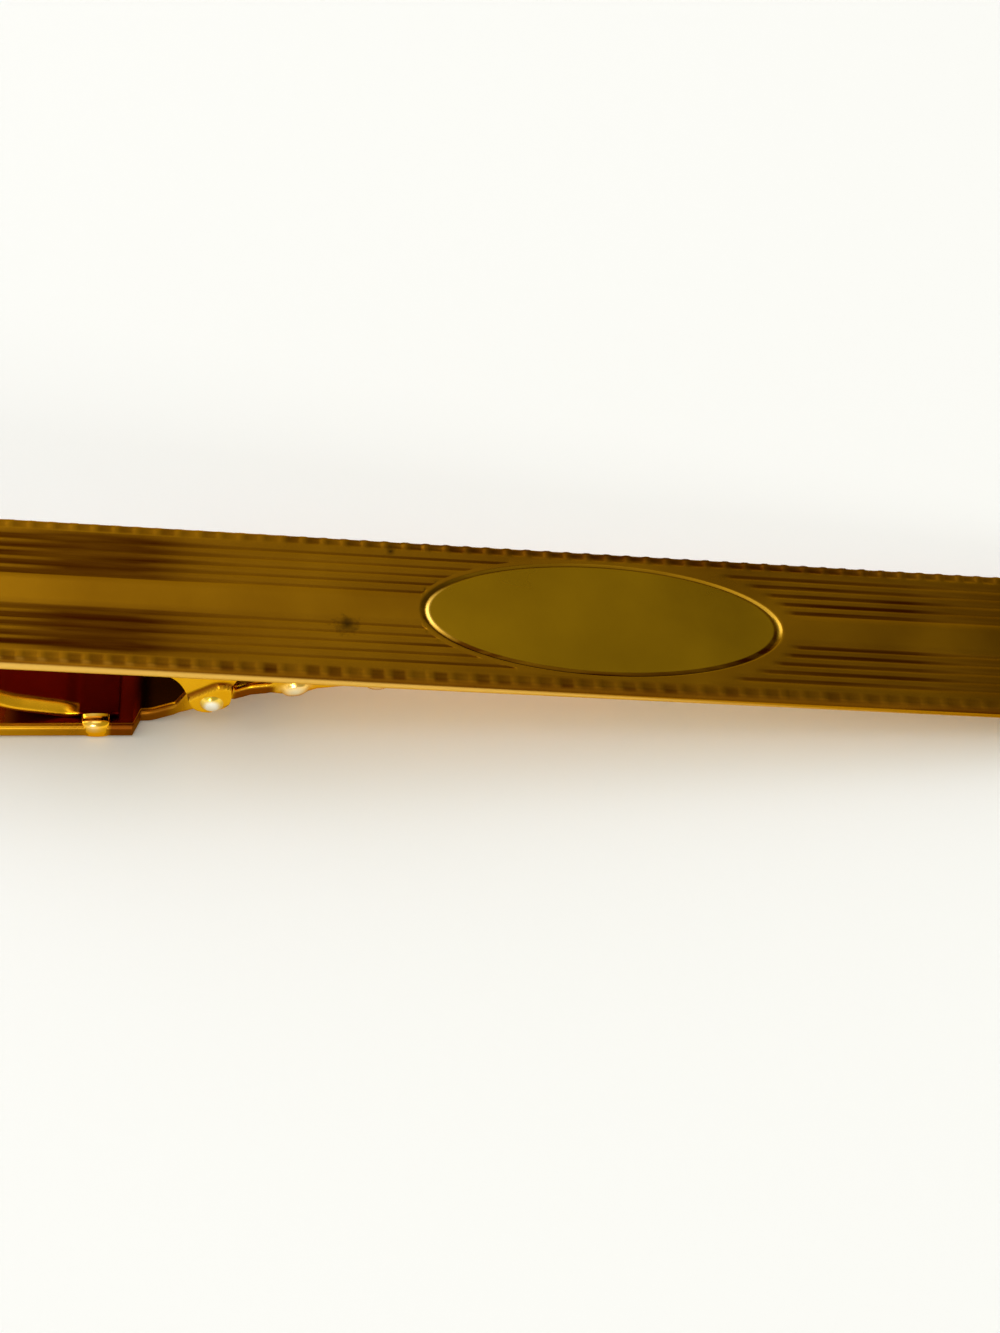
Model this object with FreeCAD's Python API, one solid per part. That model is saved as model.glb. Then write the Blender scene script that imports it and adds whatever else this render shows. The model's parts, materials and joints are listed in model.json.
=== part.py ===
"""Tie clip: a lined, beaded bar with a sprung toothed lever hinged on its back. Millimetres.

Every piece is drawn in the bar's own axes: X along the bar, Y across it, Z up from its back face.
The finished pieces are then laid down together, so that the free end of the bar and the thumb
plate of the lever rest on Z = 0, as the clip lies on a table.
"""
import FreeCAD, Part
import math
import os

from FreeCAD import Vector

# Bar
bar_length = 57.0
bar_width = 6.4
bar_thickness = 0.7
bar_corner_radius = 0.4

# Beaded long edges of the bar's face
bead_pitch = 0.74
bead_row_width = 0.4
bead_rise = 0.16
bead_height = 0.25

# Engraved lines, and the bare oval panel that interrupts them
line_pitch = 0.392
line_width = 0.2
line_depth = 0.07
plain_band_width = 1.58
oval_length = 13.0
oval_edge_margin = 0.33
oval_groove_width = 0.2
oval_groove_depth = 0.1
oval_end_margin = 0.35
oval_side_margin = 0.53

# Hinge: its place from the clip end of the bar, and how far its axis lies under the back
hinge_from_end = 14.75
hinge_drop = 1.7
pin_radius = 0.3
pin_clearance = 0.03
pin_head_radius = 0.48
pin_head_height = 0.3
pin_head_gap = 0.03

# Bracket soldered to the back of the bar
base_sheet = 0.35
base_inset = 0.5
base_corner_radius = 0.4
base_rear_length = 3.5
base_front_length = 1.65
ear_radius = 0.6
ear_rear_neck = 1.3
ear_front_neck = 0.75
ear_rear_fillet = 1.4
ear_front_fillet = 0.6
ear_foot_margin = 0.1

# Lever: one sheet, with a thumb plate behind the hinge and a jaw in front of it
lever_sheet = 0.3
cheek_side_gap = 0.1
pad_from_hinge = 2.15
pad_end_inset = 0.9
pad_inset = 0.3
pad_corner_radius = 1.3
pad_drop = 3.8
shoulder_back = 0.55
shoulder_run = 0.25
knee_past_hinge = 1.3
knee_above_hinge = 0.02
jaw_slope_length = 5.15
jaw_flat_length = 8.0
jaw_lip_length = 1.4
jaw_lip_drop = 0.4
jaw_depth_slope = 1.0
jaw_depth_front = 0.6
jaw_taper_start = 1.35
jaw_tip_inset = 0.65
jaw_tip_corner_radius = 0.8
bend_radius = 0.9
rail_height = 0.3
cheek_radius = 0.75
cheek_rear_foot = 1.5
cheek_front_foot = 1.1

# Teeth on both edges of the jaw
tooth_pitch = 2.9
first_tooth_from_hinge = 2.9
tooth_foot = 1.9
tooth_crown = 0.6
tooth_crown_rise = 0.12
tooth_gap = 0.05

# Leaf spring, and the tabs of the lever that are bent over its foot
leaf_thickness = 0.2
leaf_side_gap = 0.4
leaf_corner_radius = 0.5
leaf_gap = 0.02
leaf_front_back = 1.05
leaf_toe_from_end = 1.2
leaf_bend_radius = 3.5
leaf_lift = 0.66
leaf_foot_share = 0.215
leaf_lift_share = 0.46
leaf_toe_share = 0.77
tab_back = 1.3
tab_width = 1.0
tab_lip_sheet = 0.2
tab_lip_overlap = 0.2
tab_bend_radius = 0.3

# Overrun of every cut past the surface it starts from, and the distance under which points are one
overrun = 0.5
same_point = 1e-6

# Places that follow from the sizes above
half_length = bar_length / 2
half_width = bar_width / 2
hinge_x = hinge_from_end - half_length
hinge_z = -hinge_drop
oval_width = bar_width - (bead_row_width + oval_edge_margin) * 2
base_half_width = half_width - base_inset
cheek_half_width = base_half_width - base_sheet - cheek_side_gap
pad_half_width = half_width - pad_inset
pad_inner_width = pad_half_width - lever_sheet
pad_length = hinge_from_end - pad_from_hinge - pad_end_inset
pad_x = hinge_x - pad_from_hinge
lie_angle = math.atan2(pad_drop, half_length - pad_x)
origin = Vector(0, 0, 0)
across = Vector(0, 1, 0)
upward = Vector(0, 0, 1)


def side(x, z):
    """A point of a side view, in the plane Y = 0."""
    return Vector(x, 0, z)


def corner_turn(before, corner, after):
    """Directions into and out of a corner, and half of the angle that it turns by."""
    way_in = (corner - before).normalize()
    way_out = (after - corner).normalize()
    return way_in, way_out, way_in.getAngle(way_out) / 2


def rounded_edges(points, radii, closed):
    """Straight edges through the points, with a tangent arc of the given radius at each corner."""
    count = len(points)
    edges = []
    pen = None
    first = None
    for index, (corner, radius) in enumerate(zip(points, radii)):
        start = corner
        finish = corner
        arc = None
        if radius > 0:
            before = points[index - 1]
            after = points[(index + 1) % count]
            way_in, way_out, half_turn = corner_turn(before, corner, after)
            tangent = radius * math.tan(half_turn)
            start = corner - way_in * tangent
            finish = corner + way_out * tangent
            inward = (way_out - way_in).normalize()
            middle = corner + inward * (radius / math.cos(half_turn) - radius)
            arc = Part.Arc(start, middle, finish).toShape()
        if pen is not None and not pen.isEqual(start, same_point):
            edges.append(Part.LineSegment(pen, start).toShape())
        if arc is not None:
            edges.append(arc)
        if first is None:
            first = start
        pen = finish
    if closed and not pen.isEqual(first, same_point):
        edges.append(Part.LineSegment(pen, first).toShape())
    return edges


def rounded_face(points, radii):
    """A flat face inside a closed outline with rounded corners."""
    return Part.Face(Part.Wire(rounded_edges(points, radii, True)))


def shifted_path(points, distance):
    """The path in the side view moved to its upper side by a distance, corners kept sharp."""
    normals = []
    for begin, end in zip(points, points[1:]):
        way = (end - begin).normalize()
        normals.append(Vector(-way.z, 0, way.x))
    moved = [points[0] + normals[0] * distance]
    for corner, before, after in zip(points[1:-1], normals, normals[1:]):
        bisector = (before + after).normalize()
        moved.append(corner + bisector * (distance / bisector.dot(after)))
    moved.append(points[-1] + normals[-1] * distance)
    return moved


def shifted_radii(points, radii, distance):
    """Bend radii that belong to the moved path, so that a bent sheet keeps its thickness."""
    moved = []
    for index, radius in enumerate(radii):
        if radius > 0:
            way_in, way_out, _ = corner_turn(points[index - 1], points[index], points[index + 1])
            turns_up = way_in.cross(way_out).y < 0
            radius = radius - distance if turns_up else radius + distance
        moved.append(radius)
    return moved


def sheet_face(points, radii, below, above):
    """Side view of a bent sheet along a path, between a depth below it and a height above it."""
    low_points = shifted_path(points, -below)
    high_points = shifted_path(points, above)
    low = rounded_edges(low_points, shifted_radii(points, radii, -below), False)
    high = rounded_edges(high_points, shifted_radii(points, radii, above), False)
    ends = [
        Part.LineSegment(low_points[-1], high_points[-1]).toShape(),
        Part.LineSegment(low_points[0], high_points[0]).toShape(),
    ]
    return Part.Face(Part.Wire(Part.__sortEdges__(low + high + ends)))


def extruded_across(face, near, far):
    """A side view carried across the clip from one Y to another."""
    carried = face.copy()
    carried.translate(across * near)
    return carried.extrude(across * (far - near))


def extruded_up(face, low, high):
    """A plan view carried upward from one Z to another."""
    carried = face.copy()
    carried.translate(upward * low)
    return carried.extrude(upward * (high - low))


def rod_across(x, z, radius, half_span):
    """A round rod along Y."""
    return Part.makeCylinder(radius, half_span * 2, Vector(x, -half_span, z), across)


def box_plan(rear, front, half, radius):
    """A rectangle of the plan view with rounded corners."""
    points = [Vector(rear, -half, 0), Vector(front, -half, 0), Vector(front, half, 0), Vector(rear, half, 0)]
    return rounded_face(points, [radius] * len(points))


def beaded_plan():
    """Plan of the bar's face layer: a row of round beads along each long edge."""
    count = round(bar_length / bead_pitch)
    step = bar_length / count
    valley = half_width - bead_rise
    edges = []
    for sign in (1, -1):
        for index in range(count):
            left = -half_length + index * step
            begin = Vector(left, sign * valley, 0)
            crest = Vector(left + step / 2, sign * half_width, 0)
            end = Vector(left + step, sign * valley, 0)
            edges.append(Part.Arc(begin, crest, end).toShape())
    for x in (-half_length, half_length):
        edges.append(Part.LineSegment(Vector(x, -valley, 0), Vector(x, valley, 0)).toShape())
    return Part.Face(Part.Wire(Part.__sortEdges__(edges)))


def line_cut(y, begin, end):
    """A V-shaped cut in the bar's face along X."""
    widened = line_width / 2 * (line_depth + overrun) / line_depth
    profile = Part.makePolygon(
        [
            Vector(begin, y, bar_thickness - line_depth),
            Vector(begin, y + widened, bar_thickness + overrun),
            Vector(begin, y - widened, bar_thickness + overrun),
            Vector(begin, y, bar_thickness - line_depth),
        ]
    )
    return Part.Face(profile).extrude(Vector(end - begin, 0, 0))


def ellipse_block(length, width, low, high):
    """An upright block of elliptical plan about the middle of the bar."""
    ellipse = Part.Ellipse(origin, length / 2, width / 2).toShape()
    return extruded_up(Part.Face(Part.Wire([ellipse])), low, high)


def front_bar():
    """The bar: a smooth rim, the beaded face layer above it, the engraved lines and the oval panel."""
    rim_top = bar_thickness - bead_height
    plan = box_plan(-half_length, half_length, half_width, bar_corner_radius)
    rim = extruded_up(plan, 0, rim_top)
    beads = extruded_up(beaded_plan(), rim_top, bar_thickness)
    bar = rim.fuse(beads.common(extruded_up(plan, 0, bar_thickness + overrun)))

    cut_end = half_length + overrun
    stop_half_length = oval_length / 2 + oval_end_margin
    stop_half_width = oval_width / 2 + oval_side_margin
    border = half_width - bead_row_width
    rows = math.floor((border - plain_band_width / 2) / line_pitch)
    cuts = []
    for sign in (1, -1):
        cuts.append(line_cut(sign * border, -cut_end, cut_end))
        for row in range(rows):
            y = sign * (plain_band_width / 2 + row * line_pitch)
            stop = stop_half_length * math.sqrt(max(0, 1 - (y / stop_half_width) ** 2))
            cuts.append(line_cut(y, -cut_end, -stop))
            cuts.append(line_cut(y, stop, cut_end))
    bottom = bar_thickness - oval_groove_depth
    top = bar_thickness + overrun
    outer = ellipse_block(oval_length + oval_groove_width, oval_width + oval_groove_width, bottom, top)
    inner = ellipse_block(oval_length - oval_groove_width, oval_width - oval_groove_width, bottom, top)
    cuts.append(outer.cut(inner))
    return bar.cut(cuts)


def hinge_base():
    """The bracket: a plate against the back of the bar, and two ears bent down to the pin."""
    rear = hinge_x - base_rear_length
    front = hinge_x + base_front_length
    plate = extruded_up(box_plan(rear, front, base_half_width, base_corner_radius), -base_sheet, 0)
    rear_foot = hinge_x - ear_rear_neck - ear_rear_fillet - ear_foot_margin
    front_foot = hinge_x + ear_front_neck + ear_front_fillet + ear_foot_margin
    ear_points = [
        side(rear_foot, 0),
        side(rear_foot, -base_sheet),
        side(hinge_x - ear_rear_neck, -base_sheet),
        side(hinge_x - ear_radius, hinge_z - ear_radius),
        side(hinge_x + ear_radius, hinge_z - ear_radius),
        side(hinge_x + ear_front_neck, -base_sheet),
        side(front_foot, -base_sheet),
        side(front_foot, 0),
    ]
    ear_radii = [0, 0, ear_rear_fillet, ear_radius, ear_radius, ear_front_fillet, 0, 0]
    ear = rounded_face(ear_points, ear_radii)
    inner = base_half_width - base_sheet
    near_ear = extruded_across(ear, -base_half_width, -inner)
    far_ear = extruded_across(ear, inner, base_half_width)
    bracket = plate.fuse([near_ear, far_ear])
    bore = rod_across(hinge_x, hinge_z, pin_radius + pin_clearance, base_half_width + overrun)
    return bracket.cut(bore).removeSplitter()


def hinge_pin():
    """The pin: a round shank with a domed head riveted over each ear of the bracket."""
    shoulder = base_half_width + pin_head_gap
    crown = shoulder + pin_head_height
    ball_radius = (pin_head_radius**2 + pin_head_height**2) / (pin_head_height * 2)
    half_arc = math.asin(pin_head_radius / ball_radius) / 2
    middle_radius = ball_radius * math.sin(half_arc)
    middle = crown - ball_radius * (1 - math.cos(half_arc))
    near_dome = Part.Arc(
        Vector(0, -crown, 0), Vector(middle_radius, -middle, 0), Vector(pin_head_radius, -shoulder, 0)
    )
    far_dome = Part.Arc(
        Vector(pin_head_radius, shoulder, 0), Vector(middle_radius, middle, 0), Vector(0, crown, 0)
    )
    shank = Part.makePolygon(
        [
            Vector(pin_head_radius, -shoulder, 0),
            Vector(pin_radius, -shoulder, 0),
            Vector(pin_radius, shoulder, 0),
            Vector(pin_head_radius, shoulder, 0),
        ]
    )
    axis = Part.LineSegment(Vector(0, crown, 0), Vector(0, -crown, 0))
    outline = Part.Wire([near_dome.toShape(), *shank.Edges, far_dome.toShape(), axis.toShape()])
    pin = Part.Face(outline).revolve(origin, across, 360)
    pin.translate(side(hinge_x, hinge_z))
    return pin


def pad_point(back, height):
    """A point over the thumb plate: its distance back from the plate's front, and its height."""
    along = side(math.cos(lie_angle), math.sin(lie_angle))
    normal = side(-math.sin(lie_angle), math.cos(lie_angle))
    front = side(pad_x, -pad_drop) + normal * lever_sheet
    return front - along * back + normal * height


def lever_path():
    """Inner face of the lever's floor in the side view, from the plate's rear end to the jaw's lip."""
    slope_x = hinge_x + jaw_slope_length
    front_x = slope_x + jaw_flat_length
    return [
        pad_point(pad_length, 0),
        pad_point(0, 0),
        side(hinge_x + knee_past_hinge, hinge_z + knee_above_hinge),
        side(slope_x, -jaw_depth_slope),
        side(front_x, -jaw_depth_front),
        side(front_x + jaw_lip_length, -jaw_depth_front - jaw_lip_drop),
    ]


def floor_height(path, x):
    """Height of the lever's floor at a place along the bar."""
    for begin, end in zip(path, path[1:]):
        if begin.x <= x <= end.x:
            return begin.z + (end.z - begin.z) * (x - begin.x) / (end.x - begin.x)
    return path[-1].z


def lever_plan(path, inset):
    """Plan outline of the lever, drawn in from its edges by an inset at the sides."""
    rear = path[0].x
    tip = path[-1].x
    shoulder = pad_x - shoulder_back
    taper = hinge_x + jaw_taper_start
    half = [
        (rear, pad_half_width, pad_corner_radius),
        (shoulder, pad_half_width, 0),
        (shoulder + shoulder_run, cheek_half_width, 0),
        (taper, cheek_half_width, 0),
        (tip, cheek_half_width - jaw_tip_inset, jaw_tip_corner_radius),
    ]
    near = [Vector(x, inset - y, 0) for x, y, _ in half]
    far = [Vector(x, y - inset, 0) for x, y, _ in reversed(half)]
    radii = [radius if inset == 0 else 0 for _, _, radius in half]
    return rounded_face(near + far, radii + radii[::-1])


def cheek_face(path):
    """Side view of a hinge cheek: a round top about the pin on a foot that spreads into the floor."""
    rear = hinge_x - cheek_rear_foot
    front = hinge_x + cheek_front_foot
    points = [
        side(rear, floor_height(path, rear)),
        side(hinge_x - cheek_radius, hinge_z),
        side(hinge_x - cheek_radius, hinge_z + cheek_radius),
        side(hinge_x + cheek_radius, hinge_z + cheek_radius),
        side(hinge_x + cheek_radius, hinge_z),
        side(front, floor_height(path, front)),
    ]
    return rounded_face(points, [0, 0, cheek_radius, cheek_radius, 0, 0])


def tooth_face(path, x):
    """Side view of a tooth: a tapering flank on each side and a slightly rounded crown."""
    rear = x - tooth_foot / 2
    front = x + tooth_foot / 2
    shoulder = -tooth_gap - tooth_crown_rise
    crown = Part.Arc(
        side(x - tooth_crown / 2, shoulder), side(x, -tooth_gap), side(x + tooth_crown / 2, shoulder)
    )
    flanks = Part.makePolygon(
        [
            side(x + tooth_crown / 2, shoulder),
            side(front, floor_height(path, front)),
            side(rear, floor_height(path, rear)),
            side(x - tooth_crown / 2, shoulder),
        ]
    )
    return Part.Face(Part.Wire([crown.toShape(), *flanks.Edges]))


def spring_tab(sign):
    """A tab on one edge of the thumb plate: an upright whose top is bent in over the spring's foot."""
    lip_end = pad_inner_width - tab_lip_overlap
    lip_low = leaf_thickness + leaf_gap * 2
    lip_high = lip_low + tab_lip_sheet
    section = [
        (pad_inner_width, -lever_sheet / 2, 0),
        (pad_half_width, -lever_sheet / 2, 0),
        (pad_half_width, lip_high, tab_bend_radius),
        (lip_end, lip_high, 0),
        (lip_end, lip_low, 0),
        (pad_inner_width, lip_low, 0),
    ]
    points = [pad_point(tab_back + tab_width, height) + across * (sign * y) for y, height, _ in section]
    face = rounded_face(points, [radius for _, _, radius in section])
    return face.extrude(pad_point(tab_back, 0) - pad_point(tab_back + tab_width, 0))


def jaw_lever():
    """The lever: floor, side rails, hinge cheeks, teeth and spring tabs, pressed from one sheet."""
    path = lever_path()
    radii = [0, bend_radius, bend_radius, bend_radius, bend_radius, 0]
    spread = pad_half_width + overrun
    rail = sheet_face(path, radii, lever_sheet, rail_height)
    floor = extruded_across(sheet_face(path, radii, lever_sheet, 0), -spread, spread)
    walls = [extruded_across(rail, -spread, spread), extruded_across(cheek_face(path), -spread, spread)]
    tooth_room = jaw_slope_length + jaw_flat_length - first_tooth_from_hinge - tooth_foot / 2
    for index in range(math.floor(tooth_room / tooth_pitch) + 1):
        x = hinge_x + first_tooth_from_hinge + index * tooth_pitch
        walls.append(extruded_across(tooth_face(path, x), -spread, spread))

    low = -pad_drop - bar_length * math.sin(lie_angle)
    outline = extruded_up(lever_plan(path, 0), low, 0)
    channel = extruded_up(lever_plan(path, lever_sheet), low, 0)
    edges = outline.cut(channel)
    body = [wall.common(edges) for wall in walls]

    body += [spring_tab(1), spring_tab(-1)]
    lever = floor.common(outline).fuse(body)
    bore = rod_across(hinge_x, hinge_z, pin_radius + pin_clearance, spread)
    return lever.cut(bore).removeSplitter()


def leaf_spring():
    """The spring: a foot on the thumb plate, a gentle and then a steep rise, and a toe under the bar.

    Two lugs at the sides of the foot lie under the tabs of the lever.
    """
    toe_end = leaf_toe_from_end - half_length
    toe_z = -leaf_gap - leaf_thickness
    path = [
        side(toe_end, toe_z),
        side(pad_x - leaf_toe_share * pad_length, toe_z),
        pad_point(leaf_lift_share * pad_length, leaf_lift),
        pad_point(leaf_foot_share * pad_length, leaf_gap),
        pad_point(leaf_front_back, leaf_gap),
    ]
    bends = [leaf_bend_radius] * (len(path) - 2)
    strip = sheet_face(path, [0, *bends, 0], 0, leaf_thickness)
    leaf_half_width = pad_inner_width - leaf_side_gap
    lug_half_width = pad_inner_width - leaf_gap
    lug_rear = pad_point(tab_back + tab_width, 0).x
    lug_front = pad_point(tab_back, 0).x
    blade = box_plan(toe_end, path[-1].x + overrun, leaf_half_width, leaf_corner_radius)
    lugs = box_plan(lug_rear, lug_front, lug_half_width, 0)
    plan = [extruded_up(face, -bar_length, 0) for face in (blade, lugs)]
    sheet = extruded_across(strip, -lug_half_width, lug_half_width)
    return sheet.common(plan[0].fuse(plan[1])).removeSplitter()


def laid_down(shape):
    """Turn a piece from the bar's axes to the table, with the box of the whole clip centred on X."""
    shape.rotate(origin, across, math.degrees(lie_angle))
    shape.translate(Vector(-bar_thickness * math.sin(lie_angle) / 2, 0, half_length * math.sin(lie_angle)))
    return shape


pieces = {
    "front_bar": front_bar(),
    "hinge_base": hinge_base(),
    "hinge_pin": hinge_pin(),
    "jaw_lever": jaw_lever(),
    "leaf_spring": leaf_spring(),
}
os.makedirs("parts", exist_ok=True)
for name, shape in pieces.items():
    laid = laid_down(shape)
    laid.exportStep(f"parts/{name}.step")
    box = laid.BoundBox
    print(
        f"{name}: {len(laid.Solids)} solid, valid {laid.isValid()}, {laid.Volume:.3f} mm3, "
        f"x {box.XMin:.3f} to {box.XMax:.3f}, y {box.YMin:.3f} to {box.YMax:.3f}, "
        f"z {box.ZMin:.3f} to {box.ZMax:.3f}"
    )
print(f"lying angle {math.degrees(lie_angle):.4f} degrees")
hinge_place = laid_down(Part.Vertex(side(hinge_x, hinge_z)))
print(f"hinge axis through {hinge_place.Point}")
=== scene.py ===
import json
import math

import bmesh
import bpy
import numpy as np
from mathutils import Matrix, Vector


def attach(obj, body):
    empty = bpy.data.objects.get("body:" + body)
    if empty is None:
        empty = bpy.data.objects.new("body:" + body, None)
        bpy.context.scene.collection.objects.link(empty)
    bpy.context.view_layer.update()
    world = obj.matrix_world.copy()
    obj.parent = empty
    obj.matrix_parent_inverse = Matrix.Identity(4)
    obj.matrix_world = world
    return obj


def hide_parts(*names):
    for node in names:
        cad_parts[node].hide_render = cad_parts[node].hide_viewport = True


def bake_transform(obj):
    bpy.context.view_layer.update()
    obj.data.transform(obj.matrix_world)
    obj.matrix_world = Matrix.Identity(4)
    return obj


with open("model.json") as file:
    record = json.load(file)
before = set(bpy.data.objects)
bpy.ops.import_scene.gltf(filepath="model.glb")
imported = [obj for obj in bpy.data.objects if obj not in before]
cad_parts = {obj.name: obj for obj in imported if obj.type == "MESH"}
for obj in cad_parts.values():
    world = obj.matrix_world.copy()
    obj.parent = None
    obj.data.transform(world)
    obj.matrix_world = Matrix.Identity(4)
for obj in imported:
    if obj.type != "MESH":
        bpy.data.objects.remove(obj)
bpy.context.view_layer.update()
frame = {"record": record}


# Front bar
# A flat brass bar, rolled with fine lines between two beaded borders, engraved with a bare oval panel
# and gilt. Its long edges are rounded over below the beads, and the gilding has gone brown in the cuts.
mm = 0.001
bar_length = 57.0
bar_width = 6.4
bar_thickness = 0.7
bar_corner = 0.4
half_length = bar_length / 2
half_width = bar_width / 2
across = np.array([0.0, 1.0, 0.0])
oval_mount = next(m for m in frame["record"]["mounts"] if m["name"] == "oval_panel")
face_middle = np.array(oval_mount["pos_m"])
face_up = np.array(oval_mount["axis"])
bar_along = np.array([face_up[2], 0.0, -face_up[0]])


def laid(x, y, z):
    """Points in the shared frame from the bar's own axes in millimetres: the middle of the face, plus X along
    the bar, Y across it and Z above its back, each times its own direction."""
    x, y, z = np.broadcast_arrays(x, y, z)
    rise = z - bar_thickness
    steps = x[..., None] * bar_along + y[..., None] * across + rise[..., None] * face_up
    return face_middle + steps * mm


def eased(share):
    """A share kept between 0 and 1 that starts and ends level: 3 s squared less 2 s cubed."""
    share = np.clip(share, 0, 1)
    return share * share * (3 - 2 * share)


def half_ellipse(x, long_half, short_half):
    """Half height of an ellipse over its long axis, and 0 outside it."""
    return short_half * np.sqrt(np.clip(1 - (x / long_half) ** 2, 0, None))


def grid_faces(rows, columns, start=0):
    """Four-sided faces between the neighbours of a grid of points, numbered row by row."""
    index = start + np.arange(rows * columns).reshape(rows, columns)
    corners = [index[:-1, :-1], index[1:, :-1], index[1:, 1:], index[:-1, 1:]]
    return np.stack(corners, axis=-1).reshape(-1, 4)


def make_piece(name, points, faces, caps, sharp_degrees, **shades):
    """A closed mesh of a grid: points that coincide become one, a face that so loses a side becomes a
    triangle, many-sided caps close the ends, and every face is turned outward. Each shade is one number
    for each point, which the materials read."""
    weld = 1e-8
    _, first, place = np.unique(np.round(points / weld), axis=0, return_index=True, return_inverse=True)
    place = place.ravel()
    faces = place[faces]
    kept = faces != np.roll(faces, 1, axis=1)
    sides = kept.sum(axis=1)
    polygons = faces[sides == 4].tolist()
    polygons += faces[sides == 3][kept[sides == 3]].reshape(-1, 3).tolist()
    for cap in caps:
        loop = place[cap]
        polygons.append(loop[loop != np.roll(loop, 1)].tolist())
    mesh = bpy.data.meshes.new(name)
    mesh.from_pydata(points[first].tolist(), [], polygons)
    for shade, values in shades.items():
        stored = mesh.attributes.new(shade, "FLOAT", "POINT")
        stored.data.foreach_set("value", values[first].astype(np.float32))
    shell = bmesh.new()
    shell.from_mesh(mesh)
    bmesh.ops.recalc_face_normals(shell, faces=shell.faces)
    shell.to_mesh(mesh)
    shell.free()
    mesh.shade_smooth()
    mesh.set_sharp_from_angle(angle=math.radians(sharp_degrees))
    piece = bpy.data.objects.new(name, mesh)
    bpy.context.scene.collection.objects.link(piece)
    return piece


# columns along the bar: eight to a bead, more at the tips of the oval and at the rounded corners
bead_count = 77
bead_pitch = bar_length / bead_count
oval_long = 6.6
oval_short = 2.57
bead_shares = np.array([0, 0.1, 0.19, 0.28, 0.5, 0.72, 0.81, 0.9])
bead_columns = (np.arange(bead_count)[:, None] + bead_shares).ravel() * bead_pitch - half_length
tip_columns = oval_long * np.cos(np.linspace(0, 0.42, 15))
corner_columns = half_length - bar_corner * (1 - np.sin(np.linspace(0, math.pi / 2, 7)))
along = np.concatenate([bead_columns, tip_columns, -tip_columns, corner_columns, -corner_columns])
along = np.unique(np.round(along, 4))

# rows of half the face: five for each line, which is wider and deeper towards the hinge end, where it is
# less worn
line_places = 0.79 + 0.392 * np.arange(5)
line_half = np.interp(along, [-20, -15.5, -12.5, -8, 8, 15], [0.16, 0.15, 0.09, 0.08, 0.12, 0.1])
line_depth = 0.25 * line_half
cut_offsets = np.array([-1, -0.6, 0, 0.6, 1])
cut_shares = np.array([0, 0.62, 1, 0.62, 0])
brown_shares = np.array([0.3, 0.95, 1, 0.95, 0.3])
row_middle = np.concatenate([[0, 0.4], np.repeat(line_places, 5), [2.67]])
row_offset = np.concatenate([[0, 0], np.tile(cut_offsets, 5), [0]])
row_cut = np.concatenate([[0, 0], np.tile(cut_shares, 5), [0]])
row_brown = np.concatenate([[0, 0], np.tile(brown_shares, 5), [0.3]])
row_lined = np.concatenate([[0, 0, 0.3], np.ones(24), [0.7]])
flat_y = row_middle[:, None] + row_offset[:, None] * line_half

# each line fades out beside the oval: right at it on the hinge side, and short of it on the other side
fade_left = 0.15
fade_right = 0.6
stop_left = half_ellipse(row_middle, 2.7, 6.62)
stop_right = half_ellipse(row_middle, 3.1, 6.85)
ramp_left = eased((-along - stop_left[:, None]) / fade_left)
ramp_right = eased((along - stop_right[:, None]) / fade_right)
line_ramp = np.where(along < 0, ramp_left, ramp_right)
line_cut = row_cut[:, None] * line_ramp

# dirt lies between the lines as well, most of it near the hinge;
# where the bar is most handled, the lines pale
dirt = np.interp(
    along,
    [-22, -20.3, -19, -16.6, -14.8, -12.5, -5, 5, 9, 14, 20],
    [0.4, 0.66, 0.95, 0.92, 0.5, 0.2, 0.1, 0.1, 0.38, 0.58, 0.55],
)
line_tone = np.interp(
    along, [-16, -12.8, -9.5, -6, 6, 8, 11.5, 13.5], [1, 0.5, 0.6, 0.85, 0.9, 1, 1, 0.55]
)
line_brown = np.maximum(row_brown[:, None] * line_tone, row_lined[:, None] * dirt) * line_ramp

# the rows are pressed aside by the oval, between its edge and a slightly larger ellipse
oval_edge = half_ellipse(along, oval_long, oval_short)
aside_long = 6.78
aside_short = 2.76
aside_limit = 2.66
aside = np.minimum(half_ellipse(along, aside_long, aside_short), aside_limit)
pressed = oval_edge + (aside - oval_edge) * flat_y / np.maximum(aside, 1e-6)
face_y = np.where(flat_y < aside, pressed, flat_y)
face_z = bar_thickness - line_depth * line_cut

# rows from the border to the back: a level strip, a round shoulder, a short wall, and a round lower edge
# that is larger towards the free end. Between two beads, strip and shoulder are pressed in along the
# surface's normal, deepest along the middle of the far edge
shoulder_radius = 0.22
near_depth = 0.012
far_depth = np.interp(along, [-12, -6, 10, 17], [0.012, 0.045, 0.045, 0.03])
strip_y = np.array([2.72, 2.77, 2.84, 2.91, half_width - shoulder_radius])
shoulder_turn = np.linspace(0, math.pi / 2, 9)[1:]
wall_shares = np.array([0.4, 0.8])
lower_turn = np.linspace(0, math.pi / 2, 8)
lower_radius = np.interp(along, [-22, -8, 16], [0.25, 0.28, 0.42])
wall_top = bar_thickness - shoulder_radius
wall_z = wall_top + (lower_radius - wall_top) * wall_shares[:, None]
edge_y = np.concatenate([
    strip_y[:, None] + along * 0,
    strip_y[-1] + shoulder_radius * np.sin(shoulder_turn)[:, None] + along * 0,
    half_width + wall_z * 0,
    half_width - lower_radius * (1 - np.cos(lower_turn))[:, None],
])
edge_z = np.concatenate([
    bar_thickness + strip_y[:, None] * 0 + along * 0,
    wall_top + shoulder_radius * np.cos(shoulder_turn)[:, None] + along * 0,
    wall_z,
    lower_radius * (1 - np.sin(lower_turn))[:, None],
])
below = np.zeros(len(wall_shares) + len(lower_turn))
edge_normal = np.concatenate([strip_y * 0, shoulder_turn, below])[:, None]
edge_pressed = np.concatenate([[0.1, 0.6, 1, 1, 1], eased((1.1 - shoulder_turn) / 0.8), below])[:, None]
bead_phase = (along + half_length) / bead_pitch
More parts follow.
